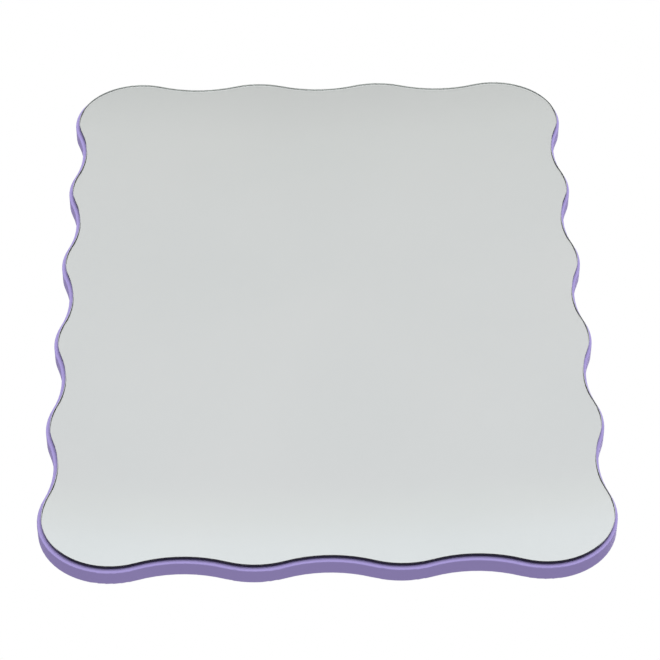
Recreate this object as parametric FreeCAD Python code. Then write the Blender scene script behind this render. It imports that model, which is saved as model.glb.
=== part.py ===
"""Wavy wall mirror: silvered glass bonded to a lacquered board with a scalloped outline.

Millimetres. X runs to the right, Y from the front to the wall and Z up. The origin is on the wall,
behind the middle of the mirror: the rubber bumpers touch the plane Y = 0 and the glass faces -Y.
"""
import FreeCAD
import Part

import math
import os

# Overall size and wave outline of the board
overall_width = 508.0
overall_height = 711.0
wave_depth = 10.4
corner_radius = 66.5
bump_share = 0.41
bumps_across = 2
bumps_up = 4

# Board
board_thickness = 14.0
board_arris_radius = 0.8

# Glass, which leaves a ledge of the board free all round and lies a little up and right of its middle
glass_thickness = 3.2
glass_arris = 0.4
ledge_width = 3.1
glass_rise = 1.1
glass_shift = 0.7

# Double-sided mirror tape between glass and board
tape_thickness = 0.5
tape_width = 25.0
tape_count = 5
tape_side_margin = 80.0
tape_end_margin = 70.0

# Self-adhesive rubber bumpers that keep the hangers off the wall
bumper_height = 7.0
bumper_base_radius = 10.0
bumper_top_radius = 8.5
bumper_edge_radius = 1.5
bumper_edge_distance = 60.0

# D-rings of the hangers
ring_wire = 3.0
ring_inside_width = 22.0
ring_bend_radius = 4.0
ring_leg = 4.0
ring_lean_angle = 2.0
ring_running_gap = 0.1
ring_side_play = 0.5

# Folded straps that hold the D-rings
strap_metal = 1.0
strap_length = 46.0
strap_fold_angle = 45.0
strap_fold_radius = 1.5
strap_end_radius = 4.0

# Pan-head screws of the hangers
screw_shank = 3.5
screw_length = 12.0
screw_tip = 3.0
screw_head = 7.0
screw_head_height = 2.4
screw_head_round = 1.2
screw_recess_width = 1.0
screw_recess_length = 4.2
screw_recess_depth = 1.3
first_screw = 14.0
screw_pitch = 22.0
screw_hole_gap = 0.25
pilot_gap = 0.05
pilot_end_gap = 0.5

# Places of the hangers
portrait_edge_distance = 80.0
portrait_top_distance = 130.0
landscape_edge_distance = 90.0
landscape_gap = 54.0
quarter_turn = 90.0

# Cuts run past the faces that they cut by this much, and flat edges are told by this much
overrun = 1.0
flat_tolerance = 0.001

# Depths of the layers, measured from the wall towards the front
board_back = -bumper_height
board_front = board_back - board_thickness
tape_front = board_front - tape_thickness
glass_front = tape_front - glass_thickness

half_width = overall_width / 2
half_height = overall_height / 2

X_AXIS = FreeCAD.Vector(1, 0, 0)
Y_AXIS = FreeCAD.Vector(0, 1, 0)


def vector(x, y, z):
    return FreeCAD.Vector(x, y, z)


# Wave outline

def side_pitch(half_size, bumps):
    """Distance between two bumps that lets the corner arcs reach as far out as the bumps."""
    reach = half_size - corner_radius
    steps = bumps / 2
    lean = (1 - bump_share) / 4
    rise = 2 * wave_depth * corner_radius - bump_share * wave_depth ** 2
    square = steps ** 2 - lean
    return (steps * reach - math.sqrt(lean * reach ** 2 + square * rise)) / square


def side_circles(half_along, half_out, bumps, turn):
    """Circles of one side's dips and bumps in order, with the side turned about the middle."""
    pitch = side_pitch(half_along, bumps)
    both_radii = (pitch ** 2 + 4 * wave_depth ** 2) / (8 * wave_depth)
    bump_radius = bump_share * both_radii
    dip_radius = both_radii - bump_radius
    circles = []
    for step in range(2 * bumps + 1):
        along = (step - bumps) * pitch / 2
        if step % 2:
            radius, sign, out = bump_radius, 1, half_out - bump_radius
        else:
            radius, sign, out = dip_radius, -1, half_out - wave_depth + dip_radius
        x = out * math.cos(turn) - along * math.sin(turn)
        z = out * math.sin(turn) + along * math.cos(turn)
        circles.append((vector(x, 0, z), radius, sign))
    return circles


def outline_circles():
    """All circles of the outline, anticlockwise from the right side as seen from the front."""
    corner_x = half_width - corner_radius
    corner_z = half_height - corner_radius
    corners = [(corner_x, corner_z), (-corner_x, corner_z), (-corner_x, -corner_z), (corner_x, -corner_z)]
    circles = []
    for quarter, (x, z) in enumerate(corners):
        turn = quarter * math.pi / 2
        if quarter % 2:
            circles += side_circles(half_width, half_height, bumps_across, turn)
        else:
            circles += side_circles(half_height, half_width, bumps_up, turn)
        circles.append((vector(x, 0, z), corner_radius, 1))
    return circles


def outline_face(inset, depth):
    """Face inside the wave outline, drawn in by the inset, in the plane at that depth."""
    circles = outline_circles()
    plane = Y_AXIS * depth
    joints = []
    for (here, radius, sign), (there, next_radius, next_sign) in zip(circles, circles[1:] + circles[:1]):
        share = (radius - sign * inset) / (radius + next_radius)
        joints.append(here + (there - here) * share)
    edges = []
    for (centre, radius, sign), start, end in zip(circles, joints[-1:] + joints[:-1], joints):
        way_out = (start + end) / 2 - centre
        crest = centre + way_out * ((radius - sign * inset) / way_out.Length)
        edges.append(Part.Arc(start + plane, crest + plane, end + plane).toShape())
    return Part.Face(Part.Wire(edges))


def flat_edges(shape):
    """Edges that lie in a plane parallel to the wall."""
    return [edge for edge in shape.Edges if edge.BoundBox.YLength < flat_tolerance]


# Board, glass and tape

def backing_board():
    board = outline_face(0, board_front).extrude(Y_AXIS * board_thickness)
    board = board.makeFillet(board_arris_radius, flat_edges(board))
    radius = screw_shank / 2 + pilot_gap
    depth = screw_length - 2 * strap_metal + pilot_end_gap
    for placement in hangers.values():
        for along in screw_places():
            hole = Part.makeCylinder(radius, depth + overrun, vector(0, -depth, along), Y_AXIS)
            board = board.cut(placed(hole, placement))
    return board


def mirror_glass():
    glass = outline_face(ledge_width, glass_front).extrude(Y_AXIS * glass_thickness)
    glass.translate(vector(glass_shift, 0, glass_rise))
    return glass.makeChamfer(glass_arris, flat_edges(glass))


def mirror_tape(number):
    """One upright strip, counted from the left."""
    span = overall_width - 2 * tape_side_margin
    left = -span / 2 + number * span / (tape_count - 1) - tape_width / 2
    length = overall_height - 2 * tape_end_margin
    return Part.makeBox(tape_width, tape_thickness, length, vector(left, tape_front, -length / 2))


# Wall bumpers

def wall_bumper(side, end):
    """One bumper, with its sticky base on the board and its flat face on the wall."""
    seat = vector(side * (half_width - bumper_edge_distance), board_back,
                  end * (half_height - bumper_edge_distance))
    cone = Part.makeCone(bumper_base_radius, bumper_top_radius, bumper_height, seat, Y_AXIS)
    tip = max(cone.Edges, key=lambda edge: edge.BoundBox.YMin)
    return cone.makeFillet(bumper_edge_radius, [tip])


# Hangers, drawn with the board's back in the plane Y = 0, the D-ring's bar along X and the ring up

wire_radius = ring_wire / 2
ring_half_width = ring_inside_width / 2 + wire_radius
bar_half = ring_half_width - ring_bend_radius
bar_height = strap_metal + ring_running_gap + wire_radius
strap_width = 2 * (bar_half - ring_side_play)


def screw_places():
    """Heights of a hanger's screws, below the D-ring's bar."""
    return [-first_screw, -first_screw - screw_pitch]


def d_ring():
    """Ring of round wire: a straight bar, two bends, two legs and a half circle."""
    leg_top = ring_bend_radius + ring_leg
    bend_share = math.sqrt(1 / 2)
    bend_out = bar_half + ring_bend_radius * bend_share
    bend_up = ring_bend_radius - ring_bend_radius * bend_share
    right_foot, left_foot = vector(bar_half, 0, 0), vector(-bar_half, 0, 0)
    right_bend = vector(ring_half_width, 0, ring_bend_radius)
    left_bend = vector(-ring_half_width, 0, ring_bend_radius)
    right_top, left_top = vector(ring_half_width, 0, leg_top), vector(-ring_half_width, 0, leg_top)
    path = [
        Part.LineSegment(left_foot, right_foot),
        Part.Arc(right_foot, vector(bend_out, 0, bend_up), right_bend),
        Part.LineSegment(right_bend, right_top),
        Part.Arc(right_top, vector(0, 0, leg_top + ring_half_width), left_top),
        Part.LineSegment(left_top, left_bend),
        Part.Arc(left_bend, vector(-bend_out, 0, bend_up), left_foot),
    ]
    wire = Part.Wire([curve.toShape() for curve in path])
    section = Part.Wire(Part.makeCircle(wire_radius, left_foot, X_AXIS))
    ring = wire.makePipeShell([section], True, False)
    ring.rotate(vector(0, 0, 0), X_AXIS, ring_lean_angle)
    ring.translate(Y_AXIS * bar_height)
    return ring


def fold_points(radius, angle):
    """Points of the strap's bend round the bar: its foot on the lower leaf, its front and its end."""
    foot = vector(0, bar_height - radius, 0)
    front = vector(0, bar_height, radius)
    end = vector(0, bar_height + radius * math.cos(angle), -radius * math.sin(angle))
    return foot, front, end


def hanger_strap():
    """Strip folded round the ring's bar, with its two leaves pressed together and screwed down."""
    angle = math.radians(strap_fold_angle)
    fall = vector(0, -math.sin(angle), -math.cos(angle))
    outer_radius = bar_height
    inner_radius = bar_height - strap_metal
    leaf_top = 2 * strap_metal

    foot, front, end = fold_points(outer_radius, angle)
    crease_drop = strap_fold_radius * (1 - math.cos(angle))
    slope_end = end + fall * ((end.y - leaf_top - crease_drop) / math.sin(angle))
    crease_centre = slope_end + vector(0, math.cos(angle), -math.sin(angle)) * strap_fold_radius
    half_turn = angle / 2
    crease = crease_centre + vector(0, -math.cos(half_turn), math.sin(half_turn)) * strap_fold_radius
    leaf_start = vector(0, leaf_top, crease_centre.z)
    leaf_end, tail = vector(0, leaf_top, -strap_length), vector(0, 0, -strap_length)
    outside = Part.Wire([
        Part.LineSegment(tail, foot).toShape(),
        Part.Arc(foot, front, end).toShape(),
        Part.LineSegment(end, slope_end).toShape(),
        Part.Arc(slope_end, crease, leaf_start).toShape(),
        Part.LineSegment(leaf_start, leaf_end).toShape(),
        Part.LineSegment(leaf_end, tail).toShape(),
    ])

    foot, front, end = fold_points(inner_radius, angle)
    wedge = end + fall * ((end.y - strap_metal) / math.sin(angle))
    eye = Part.Wire([
        Part.Arc(foot, front, end).toShape(),
        Part.LineSegment(end, wedge).toShape(),
        Part.LineSegment(wedge, foot).toShape(),
    ])

    strap = Part.Face(outside).cut(Part.Face(eye)).Faces[0].extrude(X_AXIS * strap_width)
    strap.translate(X_AXIS * (-strap_width / 2))
    end_edges = [edge for edge in strap.Edges if edge.BoundBox.ZMax < flat_tolerance - strap_length]
    corners = [edge for edge in end_edges if edge.BoundBox.XLength < flat_tolerance]
    strap = strap.makeFillet(strap_end_radius, corners)
    for along in screw_places():
        hole_radius = screw_shank / 2 + screw_hole_gap
        hole = Part.makeCylinder(hole_radius, leaf_top + 2 * overrun, vector(0, -overrun, along), Y_AXIS)
        strap = strap.cut(hole)
    return strap


def pan_head_screw(along):
    """One screw, with its head on the strap and a cross recess in the head."""
    radius = screw_shank / 2
    seat = vector(0, 2 * strap_metal, along)
    head = Part.makeCylinder(screw_head / 2, screw_head_height, seat, Y_AXIS)
    rim = max(head.Edges, key=lambda edge: edge.BoundBox.YMin)
    head = head.makeFillet(screw_head_round, [rim])
    tip_base = seat - Y_AXIS * (screw_length - screw_tip)
    shank = Part.makeCylinder(radius, screw_length - screw_tip, tip_base, Y_AXIS)
    tip = Part.makeCone(radius, 0, screw_tip, tip_base, -Y_AXIS)
    screw = head.fuse([shank, tip]).removeSplitter()
    floor = seat.y + screw_head_height - screw_recess_depth
    slot = (screw_recess_length, screw_recess_width)
    for size_x, size_z in (slot, slot[::-1]):
        corner = vector(-size_x / 2, floor, along - size_z / 2)
        screw = screw.cut(Part.makeBox(size_x, screw_recess_depth + overrun, size_z, corner))
    return screw


def hanger_screws():
    return Part.makeCompound([pan_head_screw(along) for along in screw_places()])


def hanger_places():
    """Where each hanger sits on the board's back: two with the ring up, and two with it to the right."""
    portrait_x = half_width - portrait_edge_distance
    portrait_z = half_height - portrait_top_distance
    landscape_x = half_width - landscape_edge_distance
    landscape_z = portrait_z - strap_length - landscape_gap
    upright = FreeCAD.Rotation(Y_AXIS, 0)
    sideways = FreeCAD.Rotation(Y_AXIS, quarter_turn)
    return {
        "portrait_left": FreeCAD.Placement(vector(-portrait_x, board_back, portrait_z), upright),
        "portrait_right": FreeCAD.Placement(vector(portrait_x, board_back, portrait_z), upright),
        "landscape_upper": FreeCAD.Placement(vector(landscape_x, board_back, landscape_z), sideways),
        "landscape_lower": FreeCAD.Placement(vector(landscape_x, board_back, -landscape_z), sideways),
    }


def placed(shape, placement):
    return shape.transformed(placement.toMatrix())


# Build and write every piece

def pieces():
    """Every piece by its name."""
    named = {"backing_board": backing_board(), "mirror_glass": mirror_glass()}
    for number in range(tape_count):
        named[f"mirror_tape_{number + 1}"] = mirror_tape(number)
    for end, end_name in ((1, "top"), (-1, "bottom")):
        for side, side_name in ((-1, "left"), (1, "right")):
            named[f"wall_bumper_{end_name}_{side_name}"] = wall_bumper(side, end)
    for name, placement in hangers.items():
        named[f"hanger_strap_{name}"] = placed(hanger_strap(), placement)
        named[f"d_ring_{name}"] = placed(d_ring(), placement)
        named[f"hanger_screws_{name}"] = placed(hanger_screws(), placement)
    return named


hangers = hanger_places()
os.makedirs("parts", exist_ok=True)
for piece_name, piece in pieces().items():
    piece.exportStep(f"parts/{piece_name}.step")
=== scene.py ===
import math

import bpy
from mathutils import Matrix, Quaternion, Vector


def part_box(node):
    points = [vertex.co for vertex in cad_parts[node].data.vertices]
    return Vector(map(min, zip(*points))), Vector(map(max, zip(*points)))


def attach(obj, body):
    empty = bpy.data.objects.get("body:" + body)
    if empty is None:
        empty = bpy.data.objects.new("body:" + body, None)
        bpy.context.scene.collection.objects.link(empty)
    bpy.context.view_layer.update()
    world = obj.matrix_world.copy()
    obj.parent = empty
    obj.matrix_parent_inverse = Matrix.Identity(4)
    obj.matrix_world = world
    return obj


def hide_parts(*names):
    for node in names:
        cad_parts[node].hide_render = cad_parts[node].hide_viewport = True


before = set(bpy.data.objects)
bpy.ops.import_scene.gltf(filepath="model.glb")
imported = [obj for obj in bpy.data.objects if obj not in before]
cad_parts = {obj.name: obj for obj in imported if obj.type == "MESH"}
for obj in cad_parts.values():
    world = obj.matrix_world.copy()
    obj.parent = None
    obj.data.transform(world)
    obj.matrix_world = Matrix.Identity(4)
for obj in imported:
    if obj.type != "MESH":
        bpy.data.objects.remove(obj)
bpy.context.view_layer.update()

# Looks of the wavy wall mirror
# Lengths are in metres, and colours are written as screen levels from 0 to 255

glass_low, glass_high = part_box("mirror_glass")

# Camera: below and in front of the hung mirror, which fills the photo's square frame
PHOTO_PIXELS = 660
CAMERA_PIXELS = 2445.9
SENSOR_WIDTH_MM = 36.0
CAMERA_PLACE = Vector((-0.0314, -1.5524, -1.7917))
CAMERA_TARGET = Vector((0.00646, glass_low.y, -0.0477))
CAMERA_ROLL = math.radians(-1.64)

# Studio
FLOOR_HEIGHT = -2.05
FLOOR_HALF = 12.0
FADE_START = 2.0
FADE_END = 10.0
KEY_PLACE = Vector((0.5, -3.0, 0.7))
KEY_SIZE = 2.4
KEY_SHARE = 0.68
BACK_PLACE = Vector((0.8, 2.6, 1.2))
BACK_SIZE = 2.0
BACK_SHARE = 0.40
TOP_SHARE = 0.25
TOP_SOFTNESS = math.radians(40)

# Upward part of a direction, mapped from -1..1 to 0..1, and the soft light that comes from there
AMBIENT_STOPS = (
    (0.0, (206, 206, 207)),
    (0.45, (193, 193, 194)),
    (0.7, (206, 206, 206)),
    (1.0, (228, 228, 228)),
)

# Wallward part of a direction, from where the studio's white back ends to where its front begins
FRONT_REACH = (0.35, -0.45)

# Upward part of a direction in front of the mirror, and the paleness of the studio there
FRONT_STOPS = (
    (0.0, (220, 221, 223)),
    (0.14, (232, 233, 234)),
    (0.32, (248, 248, 249)),
    (0.45, (255, 255, 255)),
    (0.560, (255, 255, 255)),
    (0.690, (236, 238, 241)),
    (0.7005, (230, 231, 232)),
    (0.709, (226, 226, 228)),
    (0.780, (223, 223, 224)),
    (0.802, (220, 220, 220)),
    (0.8124, (212, 212, 212)),
    (0.840, (204, 204, 204)),
)

# Finishes
LILAC = (171, 158, 216)
# Lilac of the side faces: painted shade, a little darker than the front and back
LILAC_SIDE_SHADE = (169, 154, 212)
GLASS_TINT = (250, 254, 252)
GLASS_PALE = (252, 255, 253)
GLASS_IOR = 1.52
SILVER = (243, 243, 243)
SILVER_DIM = (241, 241, 241)
ARRIS = (250, 254, 252)
ARRIS_DULL = (240, 245, 242)
EDGE = (26, 24, 32)
EDGE_DARK = (18, 16, 22)
EDGE_INSIDE = (200, 204, 202)
BACK_PAINT = (14, 14, 16)
BACK_PAINT_DARK = (9, 9, 11)
FLAT_SHARE = 0.9
COAT_THICKNESS = 0.00006
ZINC = (200, 202, 206)
ZINC_DULL = (180, 182, 187)
SCREW_STEEL = (184, 186, 191)
SCREW_DULL = (160, 162, 168)
RUBBER = (52, 52, 54)
RUBBER_DUST = (78, 78, 80)
TAPE = (226, 226, 220)
TAPE_PORES = (206, 206, 200)
FLOOR = (228, 228, 228)
FLOOR_DIM = (224, 224, 224)

# Where most of a noise's values lie, and how far it is broken up
NOISE_SHARES = (0.3, 0.7)
FINE_DETAIL = 2.0
CLOUD_DETAIL = 3.0
SCUFF_DETAIL = 4.0
WEAR_DETAIL = 5.0


def linear(levels):
    """Linear colour with alpha from screen levels, by the curve of a standard screen."""
    shares = [level / 255 for level in levels]
    return [s / 12.92 if s <= 0.04045 else ((s + 0.055) / 1.055) ** 2.4 for s in shares] + [1.0]


def placed(name, data):
    """New object of the scene that holds this data."""
    holder = bpy.data.objects.new(name, data)
    bpy.context.scene.collection.objects.link(holder)
    return holder


# Node helpers

def mapped(nodes, links, source, from_range, to_range=(0.0, 1.0)):
    """The source's range mapped to another, and held there outside it."""
    change = nodes.new("ShaderNodeMapRange")
    change.inputs["From Min"].default_value, change.inputs["From Max"].default_value = from_range
    change.inputs["To Min"].default_value, change.inputs["To Max"].default_value = to_range
    links.new(source, change.inputs["Value"])
    return change.outputs["Result"]


def fill_ramp(ramp, stops):
    """Sets the ramp's stops, each a value and screen levels."""
    elements = ramp.color_ramp.elements
    while len(elements) < len(stops):
        elements.new(1)
    for element, (position, levels) in zip(elements, stops):
        element.position = position
        element.color = linear(levels)


class Finish:
    """A material with one Principled shader, and short calls for the nodes that feed it."""

    def __init__(self, name, **constants):
        self.material = bpy.data.materials.new(name)
        self.material.use_nodes = True
        self.nodes = self.material.node_tree.nodes
        self.links = self.material.node_tree.links
        self.shader = self.nodes["Principled BSDF"]
        for constant, value in constants.items():
            socket = constant.replace("_", " ").title().replace("Ior", "IOR")
            self.shader.inputs[socket].default_value = value
        self.place = self.nodes.new("ShaderNodeTexCoord").outputs["Object"]
        geometry = self.nodes.new("ShaderNodeNewGeometry")
        self.face = geometry.outputs["True Normal"]
        self.backfacing = geometry.outputs["Backfacing"]

    def feed(self, source, socket):
        self.links.new(source, self.shader.inputs[socket])

    def noise(self, size, detail=FINE_DETAIL, stretch=(1, 1, 1)):
        """Noise from 0 to 1 whose blots are about this size, drawn out along the stretched axes."""
        mapping = self.nodes.new("ShaderNodeMapping")
        mapping.inputs["Scale"].default_value = [1 / s for s in stretch]
        self.links.new(self.place, mapping.inputs["Vector"])
        noise = self.nodes.new("ShaderNodeTexNoise")
        noise.inputs["Scale"].default_value = 1 / size
        noise.inputs["Detail"].default_value = detail
        self.links.new(mapping.outputs["Vector"], noise.inputs["Vector"])
        return noise.outputs["Fac"]

    def facing(self):
        """0 on the front, 1 on the back and one half on faces square to them."""
        split = self.nodes.new("ShaderNodeSeparateXYZ")
        self.links.new(self.face, split.inputs["Vector"])
        return self.spread(split.outputs["Y"], (0, 1), (-1, 1))

    def spread(self, source, to_range, from_range=(0.0, 1.0)):
        """The source's range mapped to another."""
        return mapped(self.nodes, self.links, source, from_range, to_range)

    def ramp(self, source, stops):
        """Colours by the source's value: each stop is a value and screen levels."""
        ramp = self.nodes.new("ShaderNodeValToRGB")
        fill_ramp(ramp, stops)
        self.links.new(source, ramp.inputs["Fac"])
        return ramp.outputs["Color"]

    def tones(self, source, low, high, shares=NOISE_SHARES):
        """Colour that runs from one to another as the source runs between these shares."""
        return self.ramp(source, tuple(zip(shares, (low, high))))

    def shade(self, colour, source, shares):
        """The colour multiplied by a grey that runs between these shares with the source."""
        mix = self.nodes.new("ShaderNodeMix")
        mix.data_type = "RGBA"
        mix.blend_type = "MULTIPLY"
        mix.inputs["Factor"].default_value = 1
        grey = self.nodes.new("ShaderNodeCombineColor")
        level = self.spread(source, shares)
        for channel in ("Red", "Green", "Blue"):
            self.links.new(level, grey.inputs[channel])
        self.links.new(colour, mix.inputs["A"])
        self.links.new(grey.outputs["Color"], mix.inputs["B"])
        return mix.outputs["Result"]

    def mirror_inside(self, colour, levels):
        """The colour on the face's outer side, and a mirror of these levels on its inner side."""
        mix = self.nodes.new("ShaderNodeMix")
        mix.data_type = "RGBA"
        mix.inputs["B"].default_value = linear(levels)
        self.links.new(self.backfacing, mix.inputs["Factor"])
        self.links.new(colour, mix.inputs["A"])
        self.feed(mix.outputs["Result"], "Base Color")
        self.feed(self.backfacing, "Metallic")

    def bump(self, height, depth, under=None):
        """Surface relief of this depth, on top of another relief."""
        bump = self.nodes.new("ShaderNodeBump")
        bump.inputs["Distance"].default_value = depth
        bump.inputs["Strength"].default_value = 1
        self.links.new(height, bump.inputs["Height"])
        if under:
            self.links.new(under, bump.inputs["Normal"])
        return bump.outputs["Normal"]


def dress(finish, *names):
    for name in names:
        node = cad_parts[name]
        node.data.materials.clear()
        node.data.materials.append(finish.material)


def nodes_named(start):
    return [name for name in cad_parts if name.startswith(start)]


def silvered_mirror():
    """Clear slab of glass with its silver coat, which keeps the coat's thickness from the tape."""
    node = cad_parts["mirror_glass"]
    mesh = node.data.copy()
    mesh.name = "silvered_mirror"
    for point in mesh.vertices:
        if point.co.y > glass_high.y - COAT_THICKNESS:
            point.co.y = glass_high.y - COAT_THICKNESS
    mesh.materials.clear()
    # From the front to the back, where each finish ends as the faces turn away from the front
    for finish in (clear_glass(), ground_glass(), glass_edge(), back_paint(), silvering()):
        mesh.materials.append(finish.material)
    end_shares = (FLAT_SHARE, 1 - FLAT_SHARE, FLAT_SHARE - 1, -FLAT_SHARE)
    for face in mesh.polygons:
        face.material_index = sum(-face.normal.y < share for share in end_shares)
    mirror = placed("silvered_mirror", mesh)
    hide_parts("mirror_glass")
    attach(mirror, "mirror")


# Materials

def lacquer():
    """Sprayed satin lacquer, with faint cloudiness, orange peel and painted shade on the routed edge,
    whose lilac is a little darker.
    """
    cloud_size, fleck_size, peel_size, grain_size = 0.11, 0.0011, 0.0032, 0.0006
    peel_depth, grain_depth = 0.00003, 0.000012
    cloud_shares, fleck_shares, rough_shares = (0.965, 1.035), (0.975, 1.025), (0.52, 0.64)
    # Lilac by how the face turns: front and back in full, side faces in a painted shade
    side_shade_zones = (
        (0.0, LILAC),
        (0.2, LILAC),
        (0.42, LILAC_SIDE_SHADE),
        (0.58, LILAC_SIDE_SHADE),
        (0.8, LILAC),
        (1.0, LILAC),
    )
    finish = Finish("lilac_lacquer", specular_ior_level=0.04)
    peel = finish.noise(peel_size)
    colour = finish.ramp(finish.facing(), side_shade_zones)
    colour = finish.shade(colour, finish.noise(cloud_size, CLOUD_DETAIL), cloud_shares)
    colour = finish.shade(colour, finish.noise(fleck_size), fleck_shares)
    finish.feed(colour, "Base Color")
    finish.feed(finish.spread(peel, rough_shares, NOISE_SHARES), "Roughness")
    relief = finish.bump(peel, peel_depth)
    finish.feed(finish.bump(finish.noise(grain_size), grain_depth, relief), "Normal")
    return finish


def clear_glass():
    """Front of the float glass, with a faint uneven tint."""
    tint_size = 0.16
    finish = Finish("float_glass", roughness=0.0, ior=GLASS_IOR, transmission_weight=1.0)
    tint = finish.noise(tint_size, CLOUD_DETAIL)
    finish.feed(finish.tones(tint, GLASS_TINT, GLASS_PALE), "Base Color")
    return finish


def silvering():
    """Silver coat on the back of the glass, seen through it."""
    cloud_size = 0.2
    finish = Finish("silvering", metallic=1.0, roughness=0.0)
    clouds = finish.noise(cloud_size, CLOUD_DETAIL)
    finish.feed(finish.tones(clouds, SILVER_DIM, SILVER), "Base Color")
    return finish


def ground_glass():
    """Small smoothed arris round the front of the glass, almost clear."""
    grit_size, rough_shares = 0.0004, (0.05, 0.15)
    finish = Finish("ground_glass", ior=GLASS_IOR, transmission_weight=1.0)
    grit = finish.noise(grit_size)
    finish.feed(finish.tones(grit, ARRIS_DULL, ARRIS), "Base Color")
    finish.feed(finish.spread(grit, rough_shares), "Roughness")
    return finish


def back_paint():
    """Dark paint of the mirror's back, which runs over the rear arris."""
    fleck_size, rough_shares = 0.0004, (0.55, 0.65)
    finish = Finish("back_paint", specular_ior_level=0.2)
    flecks = finish.noise(fleck_size)
    finish.feed(finish.tones(flecks, BACK_PAINT_DARK, BACK_PAINT), "Base Color")
    finish.feed(finish.spread(flecks, rough_shares), "Roughness")
    return finish


def glass_edge():
    """Edge of the glass: dark from outside, and grey where it shows through the glass."""
    streak_size, streak_stretch, rough_shares = 0.003, (1, 6, 1), (0.1, 0.2)
    finish = Finish("glass_edge", specular_ior_level=0.5)
    streaks = finish.noise(streak_size, stretch=streak_stretch)
    finish.mirror_inside(finish.tones(streaks, EDGE_DARK, EDGE), EDGE_INSIDE)
    finish.feed(finish.spread(streaks, rough_shares), "Roughness")
    return finish


def mirror_tape():
    """White foam tape with fine pores."""
    pore_size, pore_depth, pore_shares = 0.0007, 0.00008, (0.3, 0.6)
    finish = Finish("mirror_tape", roughness=0.85, specular_ior_level=0.3)
    pores = finish.noise(pore_size)
    finish.feed(finish.tones(pores, TAPE_PORES, TAPE, pore_shares), "Base Color")
    finish.feed(finish.bump(pores, pore_depth), "Normal")
    return finish


def plated_steel(name, bright, dull):
    """Zinc plate: soft clouding, fine scuffs, drawing lines and uneven gloss."""
    cloud_size, scuff_size, line_size = 0.007, 0.0012, 0.0004
    line_depth, line_stretch = 0.000008, (1, 1, 12)
    cloud_shares, scuff_shares, rough_shares = (0.35, 0.6), (0.88, 1.06), (0.34, 0.2)
    finish = Finish(name, metallic=1.0)
    clouds = finish.noise(cloud_size, WEAR_DETAIL)
    colour = finish.tones(clouds, dull, bright, cloud_shares)
    colour = finish.shade(colour, finish.noise(scuff_size, SCUFF_DETAIL), scuff_shares)
    finish.feed(colour, "Base Color")
    finish.feed(finish.spread(clouds, rough_shares, NOISE_SHARES), "Roughness")
    finish.feed(finish.bump(finish.noise(line_size, stretch=line_stretch), line_depth), "Normal")
    return finish


def rubber():
    """Matt black rubber with a moulded grain and a little dust."""
    grain_size, dust_size, grain_depth = 0.0005, 0.004, 0.00006
    dust_shares, rough_shares = (0.4, 0.75), (0.42, 0.62)
    finish = Finish("rubber", specular_ior_level=0.5)
    dust = finish.noise(dust_size, WEAR_DETAIL)
    finish.feed(finish.tones(dust, RUBBER, RUBBER_DUST, dust_shares), "Base Color")
    finish.feed(finish.spread(dust, rough_shares, NOISE_SHARES), "Roughness")
    finish.feed(finish.bump(finish.noise(grain_size), grain_depth), "Normal")
    return finish


def dress_all():
    dress(lacquer(), "backing_board")
    silvered_mirror()
    dress(mirror_tape(), *nodes_named("mirror_tape"))
    hangers = nodes_named("hanger_strap") + nodes_named("d_ring")
    dress(plated_steel("zinc_plated_steel", ZINC, ZINC_DULL), *hangers)
    dress(plated_steel("screw_steel", SCREW_STEEL, SCREW_DULL), *nodes_named("hanger_screws"))
    dress(rubber(), *nodes_named("wall_bumper"))


# Studio

def pale_floor():
    """Matt pale floor that fades into the background with distance."""
    patch_size = 1.4
    finish = Finish("pale_floor", roughness=0.8, specular_ior_level=0.2)
    finish.feed(finish.tones(finish.noise(patch_size), FLOOR_DIM, FLOOR), "Base Color")
    distance = finish.nodes.new("ShaderNodeVectorMath")
    distance.operation = "LENGTH"
    finish.links.new(finish.place, distance.inputs[0])
    fading = finish.spread(distance.outputs["Value"], (0, 1), (FADE_START, FADE_END))
    clear = finish.nodes.new("ShaderNodeBsdfTransparent")
    fade = finish.nodes.new("ShaderNodeMixShader")
    finish.links.new(fading, fade.inputs["Fac"])
    finish.links.new(finish.shader.outputs["BSDF"], fade.inputs[1])
    finish.links.new(clear.outputs["BSDF"], fade.inputs[2])
    finish.links.new(fade.outputs["Shader"], finish.nodes["Material Output"].inputs["Surface"])
    return finish


def floor():
    """Studio floor, far below the hung mirror."""
    corners = ((-1, -1), (1, -1), (1, 1), (-1, 1))
    points = [(x * FLOOR_HALF, y * FLOOR_HALF, FLOOR_HEIGHT) for x, y in corners]
    mesh = bpy.data.meshes.new("floor")
    mesh.from_pydata(points, [], [(0, 1, 2, 3)])
    mesh.materials.append(pale_floor().material)
    plane = placed("floor", mesh)
    plane.visible_diffuse = False


def seen_background(nodes, links, direction):
    """White background, and a paler grey one in front, where the mirror looks."""
    front = nodes.new("ShaderNodeValToRGB")
    fill_ramp(front, FRONT_STOPS)
    links.new(direction["Z"], front.inputs["Fac"])
    seen = nodes.new("ShaderNodeMix")
    seen.data_type = "RGBA"
    seen.inputs["A"].default_value = (1, 1, 1, 1)
    links.new(mapped(nodes, links, direction["Y"], FRONT_REACH), seen.inputs["Factor"])
    links.new(front.outputs["Color"], seen.inputs["B"])
    background = nodes.new("ShaderNodeBackground")
    links.new(seen.outputs["Result"], background.inputs["Color"])
    return background.outputs["Background"]


def soft_light(nodes, links, direction):
    """Soft light from all round, by height."""
    light = nodes.new("ShaderNodeValToRGB")
    fill_ramp(light, AMBIENT_STOPS)
    links.new(mapped(nodes, links, direction["Z"], (-1.0, 1.0)), light.inputs["Fac"])
    ambient = nodes.new("ShaderNodeBackground")
    links.new(light.outputs["Color"], ambient.inputs["Color"])
    return ambient.outputs["Background"]


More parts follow.
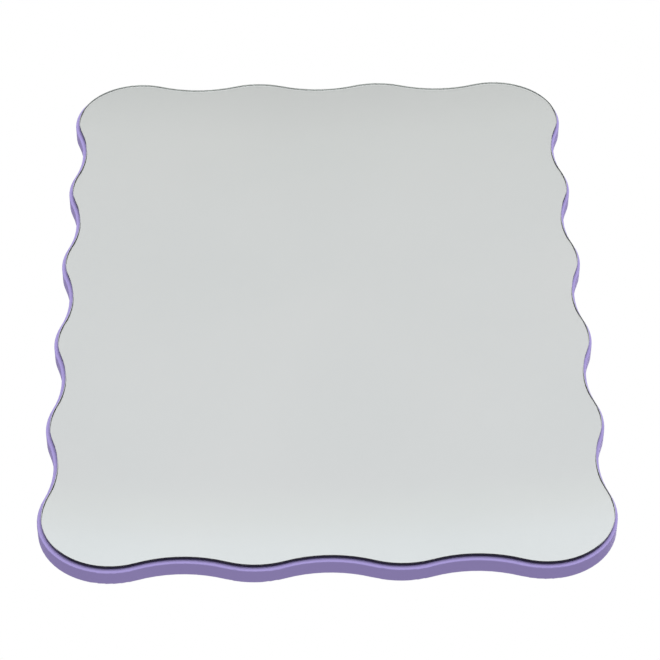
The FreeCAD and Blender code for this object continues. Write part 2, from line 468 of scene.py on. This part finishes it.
def showing_rays(nodes, links):
    """1 for the rays that show the background: from the camera, off gloss or through glass."""
    path = nodes.new("ShaderNodeLightPath")
    shown = path.outputs["Is Camera Ray"]
    for ray in ("Is Glossy Ray", "Is Transmission Ray"):
        either = nodes.new("ShaderNodeMath")
        either.operation = "MAXIMUM"
        links.new(shown, either.inputs[0])
        links.new(path.outputs[ray], either.inputs[1])
        shown = either.outputs["Value"]
    return shown


def studio_world():
    """Soft light on the object, and the pale background that is seen and reflected."""
    world = bpy.data.worlds.new("studio")
    bpy.context.scene.world = world
    world.use_nodes = True
    nodes, links = world.node_tree.nodes, world.node_tree.links
    nodes.clear()
    split = nodes.new("ShaderNodeSeparateXYZ")
    links.new(nodes.new("ShaderNodeTexCoord").outputs["Generated"], split.inputs["Vector"])
    choice = nodes.new("ShaderNodeMixShader")
    links.new(showing_rays(nodes, links), choice.inputs["Fac"])
    links.new(soft_light(nodes, links, split.outputs), choice.inputs[1])
    links.new(seen_background(nodes, links, split.outputs), choice.inputs[2])
    output = nodes.new("ShaderNodeOutputWorld")
    links.new(choice.outputs["Shader"], output.inputs["Surface"])


def hide_lamp(holder, reflected):
    """Keeps the lamp itself out of the picture, and out of gloss and glass unless reflected."""
    holder.visible_camera = False
    holder.visible_glossy = reflected
    holder.visible_transmission = reflected


def soft_lamp(name, place, size, share, reflected):
    """Square lamp that adds this share of full light to a face turned to it."""
    lamp = bpy.data.lights.new(name, "AREA")
    lamp.size = size
    lamp.energy = share * (math.pi * place.length) ** 2
    holder = placed(name, lamp)
    holder.location = place
    holder.rotation_mode = "QUATERNION"
    holder.rotation_quaternion = (-place).to_track_quat("-Z", "Y")
    hide_lamp(holder, reflected)


def top_light():
    """Soft light from straight above, for the floor and upper edges."""
    lamp = bpy.data.lights.new("top_light", "SUN")
    lamp.energy = TOP_SHARE * math.pi
    lamp.angle = TOP_SOFTNESS
    hide_lamp(placed("top_light", lamp), False)


def photo_camera():
    """Camera at the photo's place and angle."""
    camera = bpy.data.cameras.new("photo_camera")
    camera.sensor_width = SENSOR_WIDTH_MM
    camera.lens = CAMERA_PIXELS * SENSOR_WIDTH_MM / PHOTO_PIXELS
    holder = placed("photo_camera", camera)
    holder.location = CAMERA_PLACE
    holder.rotation_mode = "QUATERNION"
    aim = (CAMERA_TARGET - CAMERA_PLACE).to_track_quat("-Z", "Y")
    holder.rotation_quaternion = aim @ Quaternion((0, 0, 1), CAMERA_ROLL)
    bpy.context.scene.camera = holder


dress_all()
floor()
studio_world()
soft_lamp("key_lamp", KEY_PLACE, KEY_SIZE, KEY_SHARE, False)
soft_lamp("back_lamp", BACK_PLACE, BACK_SIZE, BACK_SHARE, True)
top_light()
photo_camera()
bpy.context.scene.view_settings.view_transform = "Standard"
